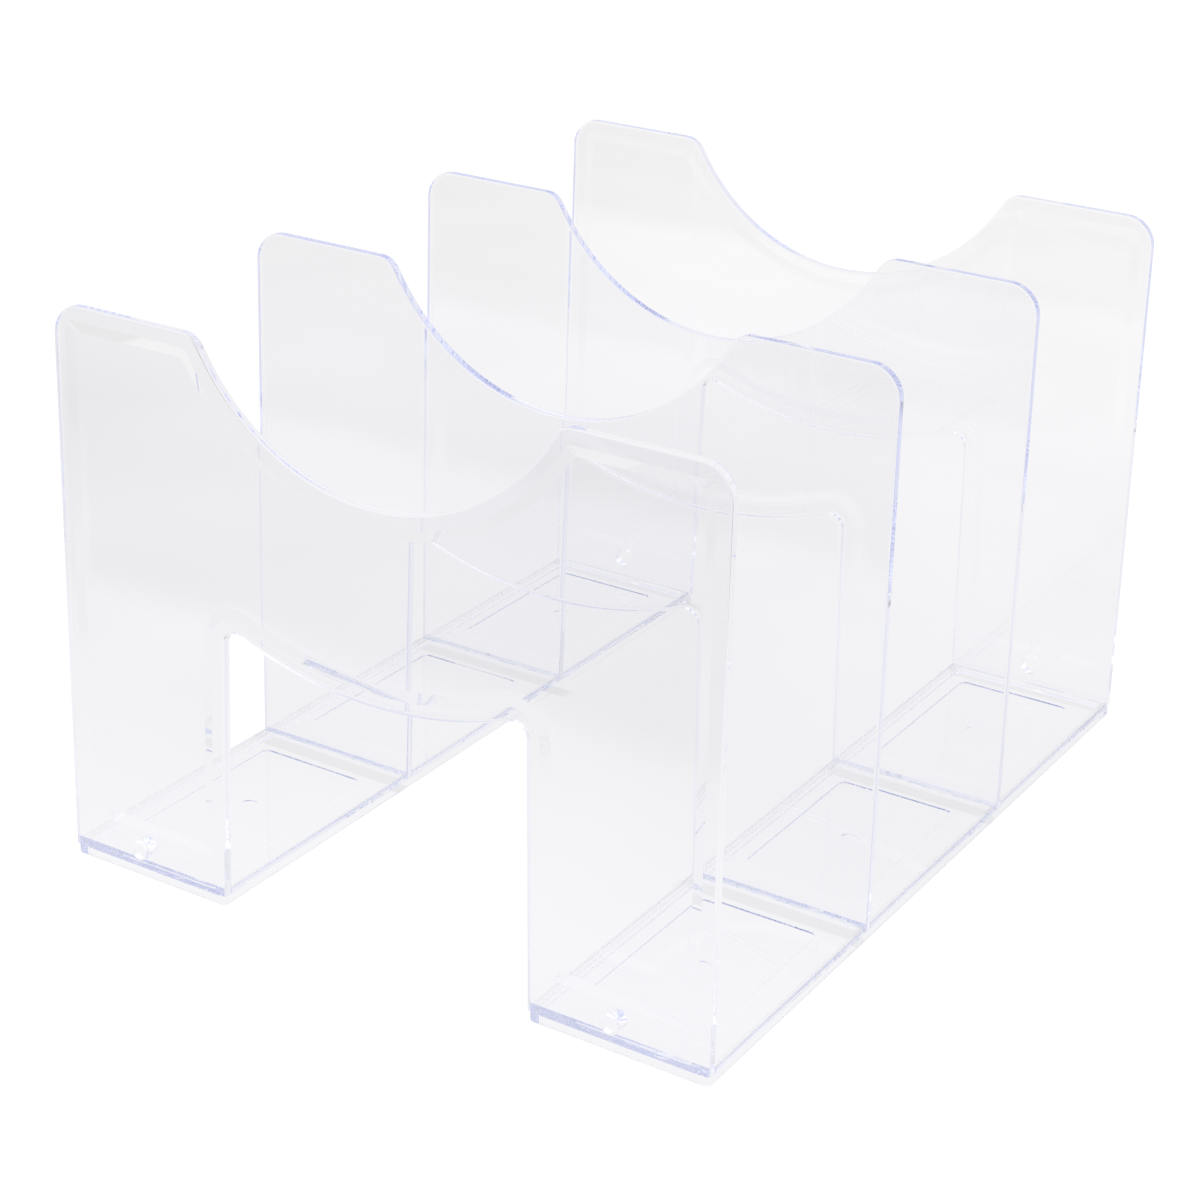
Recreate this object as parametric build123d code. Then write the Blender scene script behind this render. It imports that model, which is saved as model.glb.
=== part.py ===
from build123d import *

import os

# Three-compartment magazine rack in clear moulded plastic: four H-shaped panels stand
# in seats across two side rails and are solvent-welded there. All sizes in millimetres.
# +X is the width, +Y runs from the front panel to the back one, +Z is up. The origin is
# the centre of the footprint, studs included, on the surface the rack stands on.

# Overall
overall_width = 280.0
overall_height = 221.3
compartment_pitch = 113.3
compartments = 3

# Wall and joint
panel_thickness = 4.0
rail_height = 6.3
seat_depth = 2.0
edge_round = 0.9

# Panel outline
leg_width = 73.0
outer_corner_radius = 12.0
side_draft = 1.4
leg_draft = 5.0
scoop_radius = 83.5
scoop_centre_above_top = 37.0
shoulder_radius = 9.0
band_width = 73.5
arch_corner_radius = 5.0

# Stepped field of the end panels
border = 5.5
bevel_width = 4.0
step_depth = 0.9
foot_border = 13.4
field_corner_radius = 3.0

# Rail plan, its hollow underside, its stepped floors and their gate dimples
rail_corner_radius = 3.0
rim_width = 3.0
hollow_depth = 2.8
floor_border = 12.0
floor_end_border = 14.0
floor_step_width = 0.6
floor_step_depth = 0.3
gate_radius = 3.5
gate_depth = 0.4

# Link studs and the holes they enter
stud_radius = 4.0
stud_length = 5.5
stud_chamfer = 0.5
stud_height = 14.5
link_clearance = 0.3

# Derived
half_width = overall_width / 2
leg_centre = half_width - leg_width / 2
scoop_centre_z = overall_height + scoop_centre_above_top
arch_radius = scoop_radius + band_width
rail_length = compartments * compartment_pitch + panel_thickness
front_y = (stud_length - rail_length) / 2
foot_z = rail_height - seat_depth
field_foot_z = rail_height + foot_border


def outer_edge_x(z):
    """Distance of a panel's outer edge from the middle at height z."""
    return half_width - side_draft * z / overall_height


def leg_edge_x(z):
    """Distance of a leg's inner edge from the middle at height z."""
    return half_width - leg_width - leg_draft * z / overall_height


def mirrored_polygon(half_points):
    """Closed polygon from its right-hand points, listed from the bottom up."""
    left = [(-x, z) for x, z in reversed(half_points)]
    return Polygon(*half_points, *left, align=None)


def top_vertices(sketch, count):
    """The sketch's highest vertices."""
    return sketch.vertices().sort_by(Axis.Y)[-count:]


def panel_blank(bottom_z, inset, corner_radius):
    """Full-width plate with rounded top corners."""
    top_z = overall_height - inset
    plate = mirrored_polygon(
        [
            (outer_edge_x(bottom_z) - inset, bottom_z),
            (outer_edge_x(top_z) - inset, top_z),
        ]
    )
    return fillet(top_vertices(plate, 2), corner_radius)


def arch_opening(bottom_z, inset):
    """Opening between the legs, its top edge concentric with the scoop."""
    opening = mirrored_polygon(
        [
            (leg_edge_x(bottom_z) + inset, bottom_z),
            (leg_edge_x(scoop_centre_z) + inset, scoop_centre_z),
        ]
    )
    opening -= Pos(0, scoop_centre_z) * Circle(arch_radius - inset)
    return fillet(top_vertices(opening, 2), arch_corner_radius + inset)


def panel_outline(bottom_z, inset, corner_radius, shoulder):
    """H-shaped outline: the blank less the scoop and the arch, shoulders rounded."""
    plate = panel_blank(bottom_z, inset, corner_radius)
    plate -= arch_opening(bottom_z, inset)
    plate -= Pos(0, scoop_centre_z) * Circle(scoop_radius + inset)
    top_z = overall_height - inset
    scoop_half = ((scoop_radius + inset) ** 2 - (scoop_centre_z - top_z) ** 2) ** 0.5
    shoulders = [
        vertex
        for vertex in plate.vertices()
        if abs(vertex.Y - top_z) < 1e-3 and abs(abs(vertex.X) - scoop_half) < 1e-3
    ]
    return fillet(shoulders, shoulder)


def upright(y):
    """Drawing plane facing the front, at depth y behind the front panel's face."""
    return Plane(origin=(0, front_y + y, 0), x_dir=(1, 0, 0), z_dir=(0, -1, 0))


def plain_panel(y):
    """Panel whose front face is at depth y, outline edges rounded, foot edges square."""
    outline = panel_outline(foot_z, 0, outer_corner_radius, shoulder_radius)
    panel = extrude(upright(y) * outline, -panel_thickness)
    faces = panel.faces().sort_by(Axis.Y)
    rims = [
        edge
        for face in (faces[0], faces[-1])
        for edge in face.edges()
        if edge.center().Z > foot_z + 1e-3
    ]
    return fillet(rims, edge_round)


def panel_field(y, inward):
    """Cutter for the stepped field, entering the face at depth y; inward is +1 or -1."""
    mouth = panel_outline(
        field_foot_z, border, field_corner_radius, field_corner_radius
    )
    floor = panel_outline(
        field_foot_z + bevel_width,
        border + bevel_width,
        field_corner_radius,
        field_corner_radius,
    )
    return loft(
        [upright(y) * mouth, upright(y + inward * step_depth) * floor], ruled=True
    )


def stud(x):
    """Link stud standing out of the front face."""
    rod = extrude(upright(0) * Pos(x, stud_height) * Circle(stud_radius), stud_length)
    tip = rod.faces().sort_by(Axis.Y)[0].edges()
    return chamfer(tip, stud_chamfer)


def front_panel():
    """Front panel: stepped field in its outer face, one stud on each leg."""
    panel = plain_panel(0) - panel_field(0, 1)
    return panel + stud(leg_centre) + stud(-leg_centre)


def back_panel():
    """Back panel: stepped field in its outer face, one link hole in each leg."""
    y = compartments * compartment_pitch
    panel = plain_panel(y) - panel_field(y + panel_thickness, -1)
    for x in (leg_centre, -leg_centre):
        hole = Circle(stud_radius + link_clearance)
        panel -= extrude(upright(y) * Pos(x, stud_height) * hole, -panel_thickness)
    return panel


def floor_middle(index):
    """Distance along Y of the middle of one compartment's floor."""
    return front_y + (index + 0.5) * compartment_pitch + panel_thickness / 2


def floor_outline(inset):
    """One compartment's floor field, its mouth shrunk by inset on every side."""
    clear_length = compartment_pitch - panel_thickness
    return RectangleRounded(
        leg_width - 2 * (floor_border + inset),
        clear_length - 2 * (floor_end_border + inset),
        field_corner_radius,
    )


def floor_field(index):
    """Cutter for one compartment's stepped floor, centred on x = 0."""
    middle = floor_middle(index)
    mouth = floor_outline(0)
    floor = floor_outline(floor_step_width)
    return loft(
        [
            Pos(0, middle, rail_height) * mouth,
            Pos(0, middle, rail_height - floor_step_depth) * floor,
        ],
        ruled=True,
    )


def gate_dimple(index):
    """Shallow round gate dimple in the middle of one compartment's floor."""
    floor_z = rail_height - floor_step_depth
    mark = Pos(0, floor_middle(index), floor_z) * Circle(gate_radius)
    return extrude(mark, -gate_depth)


def panel_seat(index):
    """Cutter for one panel's seat across the rail's top."""
    middle = front_y + index * compartment_pitch + panel_thickness / 2
    return Pos(0, middle, foot_z + seat_depth) * Box(
        2 * leg_width, panel_thickness, 2 * seat_depth
    )


def rail_plan(inset):
    """Rail outline in plan, shrunk by inset on every side, centred on x = 0."""
    plan = RectangleRounded(
        leg_width - 2 * inset, rail_length - 2 * inset, rail_corner_radius
    )
    return Pos(0, front_y + rail_length / 2) * plan


def rail_bar():
    """Bar with softened top and bottom edges, standing on a rim round a shallow hollow."""
    bar = extrude(rail_plan(0), rail_height)
    faces = bar.faces().sort_by(Axis.Z)
    bar = fillet(faces[0].edges() + faces[-1].edges(), edge_round)
    return bar - extrude(rail_plan(rim_width), hollow_depth)


def side_rail(x):
    """Rail with a seat for every panel and a stepped floor for every compartment."""
    rail = rail_bar()
    for index in range(compartments + 1):
        rail -= panel_seat(index)
    for index in range(compartments):
        rail -= floor_field(index)
        rail -= gate_dimple(index)
    return Pos(x, 0, 0) * rail


def nodes():
    """Every separate moulding by name."""
    parts = {
        "front_panel": front_panel(),
        "back_panel": back_panel(),
        "left_rail": side_rail(-leg_centre),
        "right_rail": side_rail(leg_centre),
    }
    for index in range(1, compartments):
        parts[f"divider_{index}"] = plain_panel(index * compartment_pitch)
    return parts


os.makedirs("parts", exist_ok=True)
for name, shape in nodes().items():
    export_step(shape, f"parts/{name}.step")
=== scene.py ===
import math
import random

import bpy
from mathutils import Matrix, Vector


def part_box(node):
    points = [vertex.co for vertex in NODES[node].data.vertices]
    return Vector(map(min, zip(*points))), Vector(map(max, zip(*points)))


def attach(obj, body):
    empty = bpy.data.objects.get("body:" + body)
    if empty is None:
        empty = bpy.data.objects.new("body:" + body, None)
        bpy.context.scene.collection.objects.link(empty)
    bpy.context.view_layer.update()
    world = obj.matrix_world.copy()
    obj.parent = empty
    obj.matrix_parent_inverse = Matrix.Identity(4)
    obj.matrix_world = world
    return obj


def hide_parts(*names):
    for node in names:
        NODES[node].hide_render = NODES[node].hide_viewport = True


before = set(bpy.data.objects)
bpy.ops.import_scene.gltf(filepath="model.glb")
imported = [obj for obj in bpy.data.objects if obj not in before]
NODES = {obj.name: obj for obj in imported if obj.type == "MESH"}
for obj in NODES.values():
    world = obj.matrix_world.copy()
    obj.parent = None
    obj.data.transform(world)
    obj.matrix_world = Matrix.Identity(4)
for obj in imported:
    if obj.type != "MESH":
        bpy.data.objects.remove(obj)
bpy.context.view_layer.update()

# A clear plastic magazine rack: four upright panels cemented across two side rails. The
# CAD panels get materials only. The CAD rails are replaced by copies with opened seats, so
# that no two clear faces touch, and the joints get cement sheets and air bubbles.
MM = 0.001
TINY = 1e-6

PANELS = ("front_panel", "divider_1", "divider_2", "back_panel")
RAILS = ("left_rail", "right_rail")
BOX = {name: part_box(name) for name in NODES}
FOOT = BOX["divider_1"][0].z
TOP = BOX["right_rail"][1].z
THICK = BOX["divider_1"][1].y - BOX["divider_1"][0].y
RAIL_FRONT = BOX["right_rail"][0].y
RAIL_BACK = BOX["right_rail"][1].y
RAIL_INNER = BOX["right_rail"][0].x
RAIL_OUTER = BOX["right_rail"][1].x
SEATS = [RAIL_FRONT] + [BOX[name][0].y for name in PANELS[1:]]

# Thickness of the gap left at each seat wall and floor
GAP = 0.05 * MM
# How far inside the rail a cement sheet hangs beside its seat wall
FILM_INSET = 0.12 * MM
# Height of the hollow under each rail: nothing in a joint reaches down into it
HOLLOW = 2.8 * MM
PLASTIC_IOR = 1.52
BOUNCES = 160


# ------------------------------------------------------------ node helpers
def node(tree, kind, values=None, **settings):
    """A shader node with its settings and the default values of its inputs."""
    made = tree.nodes.new(kind)
    for key, value in settings.items():
        setattr(made, key, value)
    for key, value in (values or {}).items():
        made.inputs[key].default_value = value
    return made


def link(tree, source, target):
    tree.links.new(source, target)


def new_material(name):
    """An empty node material and its tree."""
    mat = bpy.data.materials.new(name)
    mat.use_nodes = True
    mat.node_tree.nodes.clear()
    return mat, mat.node_tree


def noise(tree, vector, scale, detail=2.0, stretch=None):
    """Noise of a given scale; stretch multiplies the coordinates per axis."""
    if stretch:
        squeezed = node(tree, "ShaderNodeMapping", {"Scale": stretch})
        link(tree, vector, squeezed.inputs["Vector"])
        vector = squeezed.outputs["Vector"]
    made = node(tree, "ShaderNodeTexNoise", {"Scale": scale, "Detail": detail})
    link(tree, vector, made.inputs["Vector"])
    return made.outputs["Fac"]


def remap(tree, value, low, high, to_low, to_high, kind="LINEAR"):
    """The value, moved from low..high to to_low..to_high."""
    made = node(
        tree,
        "ShaderNodeMapRange",
        {"From Min": low, "From Max": high, "To Min": to_low, "To Max": to_high},
        interpolation_type=kind,
    )
    link(tree, value, made.inputs["Value"])
    return made.outputs["Result"]


def maths(tree, operation, a, b=None):
    """One maths node on sockets or numbers."""
    made = node(tree, "ShaderNodeMath", operation=operation)
    for index, value in enumerate((a, b)):
        if value is None:
            continue
        if isinstance(value, (int, float)):
            made.inputs[index].default_value = value
        else:
            link(tree, value, made.inputs[index])
    return made.outputs["Value"]


# ------------------------------------------------------------ materials
def clear_plastic(name, base_rough=None):
    """Moulded clear plastic: blue-violet over long paths, faint flow marks, smudges.

    base_rough, if given, is the roughness of the face that the piece stands on.
    """
    mat, t = new_material(name)
    out = node(t, "ShaderNodeOutputMaterial")
    shader = node(
        t,
        "ShaderNodeBsdfPrincipled",
        {
            "Base Color": (0.995, 0.995, 1.0, 1),
            "Transmission Weight": 1.0,
            "IOR": PLASTIC_IOR,
        },
    )
    coord = node(t, "ShaderNodeTexCoord").outputs["Object"]
    flow = noise(t, coord, 12.0, 1.0)
    bump = node(t, "ShaderNodeBump", {"Strength": 0.03, "Distance": 0.6 * MM})
    link(t, flow, bump.inputs["Height"])
    link(t, bump.outputs["Normal"], shader.inputs["Normal"])
    smudge = remap(t, noise(t, coord, 45.0, 4.0), 0.64, 0.84, 0.0, 0.02)
    if base_rough:
        height = node(t, "ShaderNodeSeparateXYZ")
        link(t, coord, height.inputs["Vector"])
        under = remap(t, height.outputs["Z"], 0.1 * MM, 0.3 * MM, base_rough, 0.0)
        smudge = maths(t, "MAXIMUM", smudge, under)
    link(t, smudge, shader.inputs["Roughness"])
    link(t, shader.outputs["BSDF"], out.inputs["Surface"])
    tint = node(
        t,
        "ShaderNodeVolumeAbsorption",
        {"Color": (0.05, 0.19, 0.94, 1), "Density": 0.8},
    )
    link(t, tint.outputs["Volume"], out.inputs["Volume"])
    return mat


def cement_film(name, deep, shallow):
    """Solvent cement in a joint: a blue-violet gel with streaks along the joint."""
    mat, t = new_material(name)
    out = node(t, "ShaderNodeOutputMaterial")
    coord = node(t, "ShaderNodeTexCoord").outputs["Object"]
    streak = noise(t, coord, 260.0, 3.0, stretch=(0.30, 1.0, 1.6))
    fleck = noise(t, coord, 900.0, 2.0, stretch=(0.6, 1.0, 1.0))
    both = maths(t, "ADD", maths(t, "MULTIPLY", streak, 0.75), maths(t, "MULTIPLY", fleck, 0.25))
    mask = remap(t, both, 0.44, 0.56, 0.0, 1.0, "SMOOTHSTEP")
    tone = node(t, "ShaderNodeMix", {6: (*deep, 1), 7: (*shallow, 1)}, data_type="RGBA")
    link(t, mask, tone.inputs["Factor"])
    gel = node(t, "ShaderNodeBsdfTransparent")
    link(t, tone.outputs[2], gel.inputs["Color"])
    link(t, gel.outputs["BSDF"], out.inputs["Surface"])
    return mat


def bubble_air(name):
    """Air in the cement: the bubble's wall faces inwards, so this is glass seen from inside."""
    mat, t = new_material(name)
    out = node(t, "ShaderNodeOutputMaterial")
    shader = node(t, "ShaderNodeBsdfPrincipled", {"Transmission Weight": 1.0, "IOR": PLASTIC_IOR})
    coord = node(t, "ShaderNodeTexCoord").outputs["Object"]
    frost = remap(t, noise(t, coord, 800.0, 2.0), 0.4, 0.7, 0.0, 0.05)
    link(t, frost, shader.inputs["Roughness"])
    link(t, shader.outputs["BSDF"], out.inputs["Surface"])
    return mat


PANEL = clear_plastic("clear_panel")
RAIL = clear_plastic("clear_rail", base_rough=0.22)
CEMENT_END = cement_film("cement_end", (0.90, 0.912, 0.965), (0.995, 0.995, 1.0))
CEMENT_DIVIDER = cement_film("cement_divider", (0.875, 0.895, 0.962), (0.97, 0.975, 0.992))
AIR = bubble_air("trapped_air")


# ------------------------------------------------------------ pieces
def piece(name, points, faces, mat):
    """A visual piece of the rack from mesh data in the row frame."""
    mesh = bpy.data.meshes.new(name)
    mesh.from_pydata(points, [], faces)
    mesh.materials.append(mat)
    obj = bpy.data.objects.new(name, mesh)
    bpy.context.scene.collection.objects.link(obj)
    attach(obj, "root")
    return obj


def seated_rail(name):
    """The rail with its seats opened by GAP, so that it doesn't touch the panels."""
    mesh = NODES[name].data.copy()
    mesh.name = name + "_moulding"
    mesh.materials.clear()
    mesh.materials.append(RAIL)
    for v in mesh.vertices:
        if v.co.z < FOOT - TINY:
            continue
        if any(abs(v.co.y - y) < TINY for y in SEATS[1:]):
            v.co.y -= GAP
        elif any(abs(v.co.y - y - THICK) < TINY for y in SEATS[:-1]):
            v.co.y += GAP
        if abs(v.co.z - FOOT) < TINY:
            v.co.z -= GAP
    rail = bpy.data.objects.new(mesh.name, mesh)
    bpy.context.scene.collection.objects.link(rail)
    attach(rail, "root")
    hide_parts(name)
    return rail


def wave(x, seed):
    """A slow irregular wave between 0 and 1 along the joint."""
    a = math.sin(x * 330 + seed * 2.1) * 0.5 + math.sin(x * 790 + seed * 5.3) * 0.3
    return 0.5 + 0.5 * (a + 0.2 * math.sin(x * 1700 + seed))


def film(name, rail, y, reach, mat, seed):
    """Upright sheet of cement just inside the rail, its lower edge running unevenly."""
    low, high = BOX[rail]
    start, end = low.x + 0.8 * MM, high.x - 0.8 * MM
    steps = 90
    top = TOP - 0.15 * MM
    points, faces = [], []
    for i in range(steps + 1):
        x = start + (end - start) * i / steps
        along = i / steps
        depth = reach(along) * (0.8 + 0.35 * wave(x, seed))
        points.append((x, y, max(top - depth, HOLLOW + 0.1 * MM)))
        points.append((x, y, top - 0.12 * MM * wave(x, seed + 3)))
    for i in range(steps):
        a = 2 * i
        faces.append((a, a + 2, a + 3, a + 1))
    return piece(name, points, faces, mat)


def bubble_cloud(name, rail, y, count, depth, seed):
    """Small air bubbles caught in one joint, gathered towards one end."""
    rng = random.Random(seed)
    low, high = BOX[rail]
    rings, around = 6, 10
    points, faces = [], []
    for _ in range(count):
        along = rng.random() ** 1.7
        cx = low.x + 2 * MM + (high.x - low.x - 4 * MM) * along
        r = rng.uniform(0.12, 0.34) * MM
        cz = TOP - 0.5 * MM - r - rng.random() * depth
        base = len(points)
        points.append((cx, y, cz + r))
        for i in range(1, rings):
            tilt = math.pi * i / rings
            for j in range(around):
                turn = 2 * math.pi * j / around
                points.append(
                    (
                        cx + 1.5 * r * math.sin(tilt) * math.cos(turn),
                        y + 0.5 * r * math.sin(tilt) * math.sin(turn),
                        cz + r * math.cos(tilt),
                    )
                )
        points.append((cx, y, cz - r))
        last = len(points) - 1
        for j in range(around):
            k = (j + 1) % around
            faces.append((base, base + 1 + k, base + 1 + j))
            for i in range(rings - 2):
                a, b = base + 1 + i * around, base + 1 + (i + 1) * around
                faces.append((a + j, a + k, b + k, b + j))
            ring = base + 1 + (rings - 2) * around
            faces.append((last, ring + j, ring + k))
    cloud = piece(name, points, faces, AIR)
    cloud.data.polygons.foreach_set("use_smooth", [True] * len(cloud.data.polygons))
    return cloud


for name in PANELS:
    NODES[name].data.materials.clear()
    NODES[name].data.materials.append(PANEL)

for number, rail in enumerate(RAILS):
    seated_rail(rail)
    front = SEATS[0] + THICK + FILM_INSET
    film(rail + "_front_cement", rail, front, lambda a: (3.4 - 2.6 * a) * MM, CEMENT_END, number)
    bubble_cloud(rail + "_front_bubbles", rail, front + 0.5 * MM, 16, 1.4 * MM, 11 + number)
    for index in (1, 2):
        wall = SEATS[index] - FILM_INSET
        label = f"{rail}_divider_{index}"
        film(label + "_cement", rail, wall, lambda a: 2.1 * MM, CEMENT_DIVIDER, 5 * index + number)
        bubble_cloud(label + "_bubbles", rail, wall - 0.4 * MM, 14, 1.0 * MM, 23 * index + number)
    back = SEATS[3] - FILM_INSET
    film(rail + "_back_cement", rail, back, lambda a: 1.6 * MM, CEMENT_END, 9 + number)


# ------------------------------------------------------------ stage
# The paper ends in front of the rack and to its left, where the darker room begins
PAPER_FRONT = -0.36
PAPER_LEFT = -0.73
PAPER_LEAN = 0.23
PAPER_Z = -0.3 * MM
ROOM = 0.44
# What the camera sees of the open paper and the background: pure white, with a margin
WHITE = 1.05
# Middle of the shade on the paper behind each rear foot, seen through the link hole:
# its distance from x = 0 and from the rails' back ends
FOOT_SHADE_X = 92 * MM
FOOT_SHADE_BEHIND = 27.3 * MM


def shade_strip(t, y_socket, x_socket, centre, half_width, depth):
    """How much a painted shadow, a soft grey line across the two feet, darkens the paper; it is
    centred on y.
    """
    away = maths(t, "ABSOLUTE", maths(t, "SUBTRACT", y_socket, centre))
    line = remap(t, away, half_width * 0.8, half_width * 1.15, depth, 0.0, "SMOOTHSTEP")
    aside = maths(t, "ABSOLUTE", x_socket)
    inside = remap(t, aside, RAIL_INNER - 9 * MM, RAIL_INNER - 1 * MM, 0.0, 1.0, "SMOOTHSTEP")
    outside = remap(t, aside, RAIL_OUTER - 1 * MM, RAIL_OUTER + 1 * MM, 1.0, 0.0, "SMOOTHSTEP")
    return maths(t, "MULTIPLY", line, maths(t, "MULTIPLY", inside, outside))


def foot_shade(t, x, y):
    """1 on open paper, 0 in the small shade just behind each rear foot."""
    dx = maths(t, "SUBTRACT", maths(t, "ABSOLUTE", x), FOOT_SHADE_X)
    dy = maths(t, "SUBTRACT", y, RAIL_BACK + FOOT_SHADE_BEHIND)
    gap = maths(t, "ADD", maths(t, "MULTIPLY", dx, dx), maths(t, "MULTIPLY", dy, dy))
    away = maths(t, "SQRT", gap)
    return remap(t, away, 7 * MM, 11 * MM, 0.0, 1.0, "SMOOTHSTEP")


def paper_tone_and_shade(t, y):
    """The paper's colour with painted shade: bluish and darker near the rack, warmer and lighter
    far behind it.
    """
    far = remap(t, y, 0.1, 0.7, 0.0, 1.0, "SMOOTHSTEP")
    # The near tone is painted shade around the rack
    near_shaded_tone, far_tone = (0.897, 0.894, 0.912, 1), (0.957, 0.946, 0.950, 1)
    tone = node(t, "ShaderNodeMix", {6: near_shaded_tone, 7: far_tone}, data_type="RGBA")
    link(t, far, tone.inputs["Factor"])
    return tone.outputs[2]


def paper_level(t, coord, x, y):
    """The paper's brightness: uneven, with painted shadows under the upright panels, painted light
    towards the front and painted shade towards the left, dim past its edges.
    """
    level = remap(t, noise(t, coord, 5.0), 0.3, 0.7, 0.975, 1.025)
    # Painted shadows of the two dividers and the back panel on the paper
    for index in (1, 2):
        strip = shade_strip(t, y, x, SEATS[index] - 0.7 * MM, 3.5 * MM, 0.10)
        level = maths(t, "SUBTRACT", level, strip)
    strip = shade_strip(t, y, x, SEATS[3] + 0.5 * MM, 3.0 * MM, 0.08)
    level = maths(t, "SUBTRACT", level, strip)
    # Painted light: the paper a little lighter in front of the rack
    painted_front_light = remap(t, y, -0.16, 0.0, 0.035, 0.0, "SMOOTHSTEP")
    level = maths(t, "ADD", level, painted_front_light)
    edge = remap(t, y, PAPER_FRONT + 0.02, PAPER_FRONT - 0.03, 0.0, 1.0, "SMOOTHSTEP")
    level = maths(t, "SUBTRACT", level, maths(t, "MULTIPLY", edge, 0.55))
    lean = maths(t, "ADD", x, maths(t, "MULTIPLY", y, PAPER_LEAN))
    past_left = remap(t, lean, PAPER_LEFT - 0.01, PAPER_LEFT, 0.90, 1.0)
    level = maths(t, "MULTIPLY", level, past_left)
    # Painted shade: the paper darker towards the left
    painted_left_shade = remap(t, x, -0.60, -0.30, 0.972, 1.0, "SMOOTHSTEP")
    return maths(t, "MULTIPLY", level, painted_left_shade)


def paper_material():
    """Glowing paper in place of lit paper: white to the camera except the painted shade behind the
    rear feet, and to every other ray its tone with painted shade and light.
    """
    mat, t = new_material("paper")
    out = node(t, "ShaderNodeOutputMaterial")
    emit = node(t, "ShaderNodeEmission")
    coord = node(t, "ShaderNodeTexCoord").outputs["Object"]
    split = node(t, "ShaderNodeSeparateXYZ")
    link(t, coord, split.inputs["Vector"])
    x, y = split.outputs["X"], split.outputs["Y"]
    scaled = node(t, "ShaderNodeVectorMath", operation="SCALE")
    link(t, paper_tone_and_shade(t, y), scaled.inputs[0])
    link(t, paper_level(t, coord, x, y), scaled.inputs["Scale"])
    path = node(t, "ShaderNodeLightPath")
    white = node(t, "ShaderNodeMix", {7: (WHITE, WHITE, WHITE, 1)}, data_type="RGBA")
    link(t, scaled.outputs["Vector"], white.inputs[6])
    seen = maths(t, "MULTIPLY", path.outputs["Is Camera Ray"], foot_shade(t, x, y))
    link(t, seen, white.inputs["Factor"])
    link(t, white.outputs[2], emit.inputs["Color"])
    link(t, emit.outputs["Emission"], out.inputs["Surface"])
    return mat


def paper():
    """Paper under and behind the rack, ending in front of it."""
    mesh = bpy.data.meshes.new("paper")
    corners = [(-3.0, -0.45), (3.0, -0.45), (3.0, 4.0), (-3.0, 4.0)]
    mesh.from_pydata([(x, y, PAPER_Z) for x, y in corners], [], [(0, 1, 2, 3)])
    mesh.materials.append(paper_material())
    floor = bpy.data.objects.new("paper", mesh)
    bpy.context.scene.collection.objects.link(floor)


def studio():
    """White all round, brighter overhead; the room below the paper's front edge is darker."""
    world = bpy.data.worlds.new("studio")
    bpy.context.scene.world = world
    world.use_nodes = True
    t = world.node_tree
    t.nodes.clear()
    out = node(t, "ShaderNodeOutputWorld")
    coord = node(t, "ShaderNodeTexCoord").outputs["Generated"]
    split = node(t, "ShaderNodeSeparateXYZ")
    link(t, coord, split.inputs["Vector"])
    y, z = split.outputs["Y"], split.outputs["Z"]
    front = remap(t, y, -0.15, -0.45, 0.0, 1.0, "SMOOTHSTEP")
    below = remap(t, z, 0.10, -0.10, 0.0, 1.0, "SMOOTHSTEP")
    dark = maths(t, "MULTIPLY", front, below)
    walls = remap(t, y, -1.0, 1.0, 0.80, 0.95)
    softbox = remap(t, z, 0.45, 0.80, 0.0, 0.35, "SMOOTHSTEP")
    level = node(t, "ShaderNodeMix", {3: ROOM}, data_type="FLOAT")
    link(t, dark, level.inputs["Factor"])
    link(t, maths(t, "ADD", walls, softbox), level.inputs[2])
    sky = node(t, "ShaderNodeBackground", {"Color": (0.99, 0.985, 1.0, 1)})
    link(t, level.outputs[0], sky.inputs["Strength"])
    plain = node(t, "ShaderNodeBackground", {"Strength": WHITE})
    path = node(t, "ShaderNodeLightPath")
    open_side = maths(t, "SUBTRACT", 1.0, dark)
    seen = maths(t, "MULTIPLY", path.outputs["Is Camera Ray"], open_side)
    mix = node(t, "ShaderNodeMixShader")
    link(t, seen, mix.inputs["Fac"])
    link(t, sky.outputs["Background"], mix.inputs[1])
    link(t, plain.outputs["Background"], mix.inputs[2])
    link(t, mix.outputs["Shader"], out.inputs["Surface"])


paper()
studio()


# ------------------------------------------------------------ camera and finish
def camera():
    """The camera at the photo's viewing angle."""
    data = bpy.data.cameras.new("camera")
    data.sensor_width = 36.0
    data.lens = 81.628
    data.shift_x = 0.00396
    data.shift_y = -0.09507
    data.clip_start = 0.05
    data.clip_end = 50.0
    cam = bpy.data.objects.new("camera", data)
    bpy.context.scene.collection.objects.link(cam)
    cam.location = (0.50885, -0.84470, 0.51823)
    cam.rotation_euler = [math.radians(a) for a in (68.4392, -1.4271, 32.4204)]
    bpy.context.scene.camera = cam


camera()
scene = bpy.context.scene
scene.view_settings.view_transform = "Standard"
# Light trapped in clear plastic reflects inside it many times before it leaves
scene.cycles.max_bounces = BOUNCES
scene.cycles.transmission_bounces = BOUNCES
scene.cycles.glossy_bounces = BOUNCES
scene.cycles.transparent_max_bounces = 64
